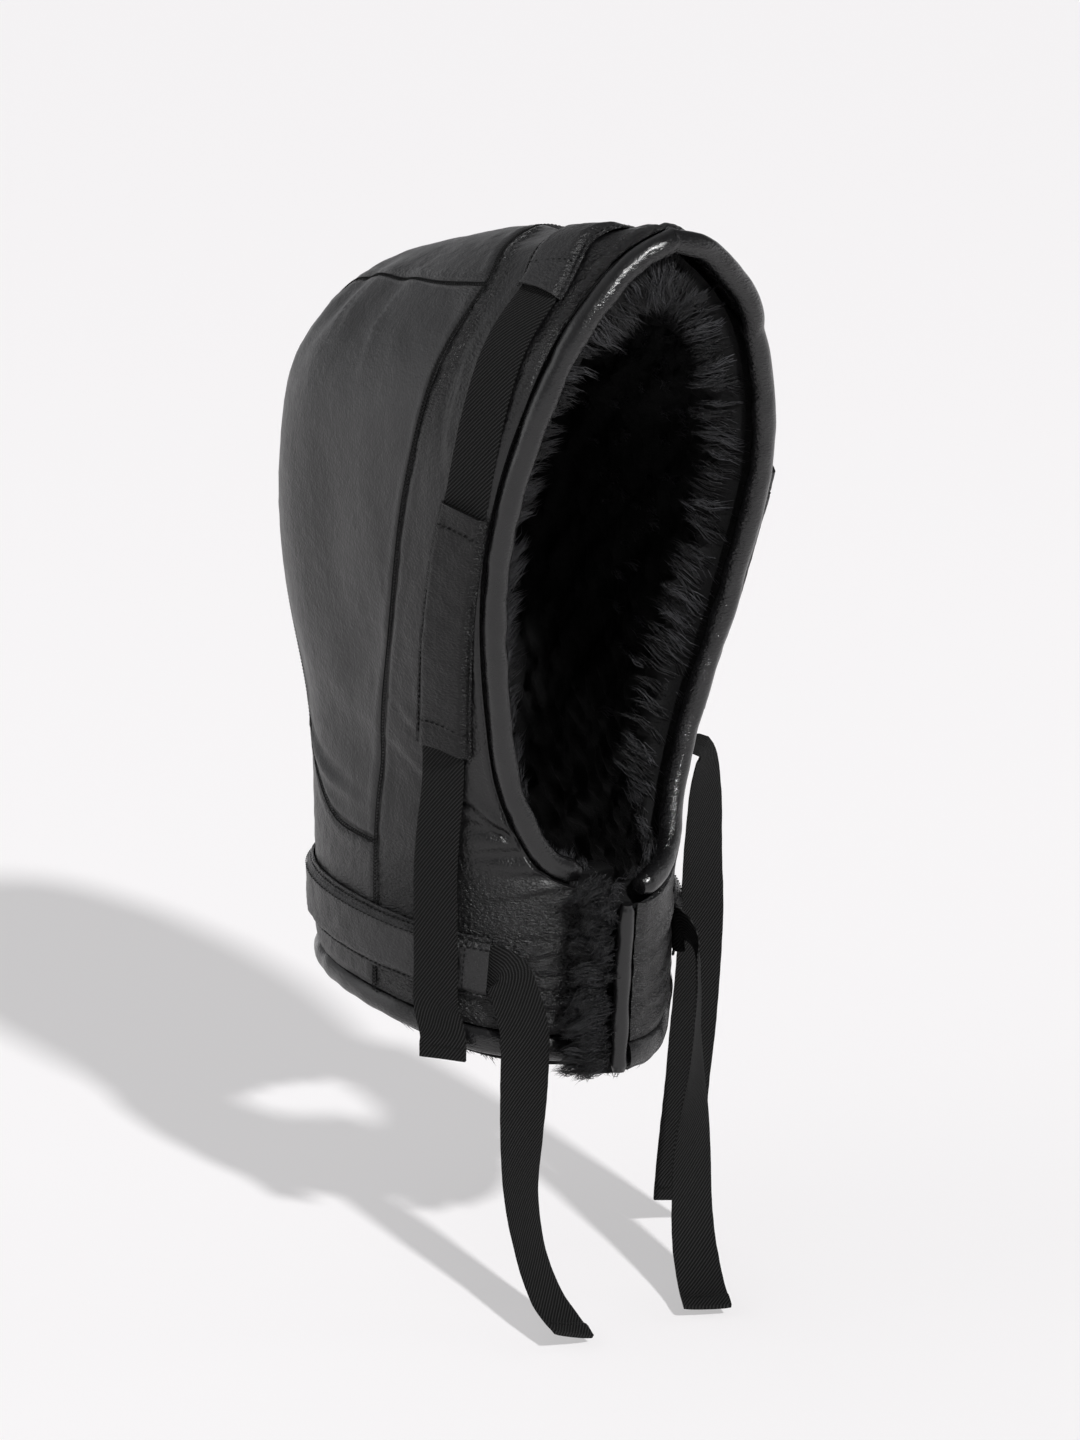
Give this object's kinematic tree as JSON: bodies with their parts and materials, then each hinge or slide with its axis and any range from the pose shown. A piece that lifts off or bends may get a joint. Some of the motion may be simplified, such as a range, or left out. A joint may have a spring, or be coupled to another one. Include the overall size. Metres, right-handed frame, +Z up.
{
  "type": "sheepskin hood",
  "caption": "Close sheepskin hood with a stand collar, panelled leather outside, wool inside, and webbing straps run through leather channels over the crown and round the nape.",
  "frame": {"origin": "where the wool's face at the inner crown sits on the top of the head", "axes": "+Z up along the head, the face looks to -Y, the wearer's left is +X"},
  "size_m": [0.2036, 0.294, 0.57],
  "materials": {
    "leather": "soft grained leather, semi-matte, black gone to charcoal",
    "rolled_leather": "smooth leather pulled tight over a roll, satin",
    "wool": "thick curly sheep's wool",
    "webbing": "fine diagonal twill webbing, matte"
  },
  "bodies": {
    "root": {"crown_panel": "leather", "side_panel_right": "leather", "side_panel_left": "leather", "front_panel_right": "leather", "front_panel_left": "leather", "nape_panel": "leather", "crown_tunnel": "leather", "side_tunnel_right": "leather", "side_tunnel_left": "leather", "neck_tunnel": "leather", "hem_roll_right": "rolled_leather", "hem_roll_left": "rolled_leather", "face_binding": "rolled_leather", "lapel_edge": "rolled_leather", "fleece_lining": "wool", "side_strap": "webbing", "neck_strap": "webbing"}
  },
  "joints": []
}
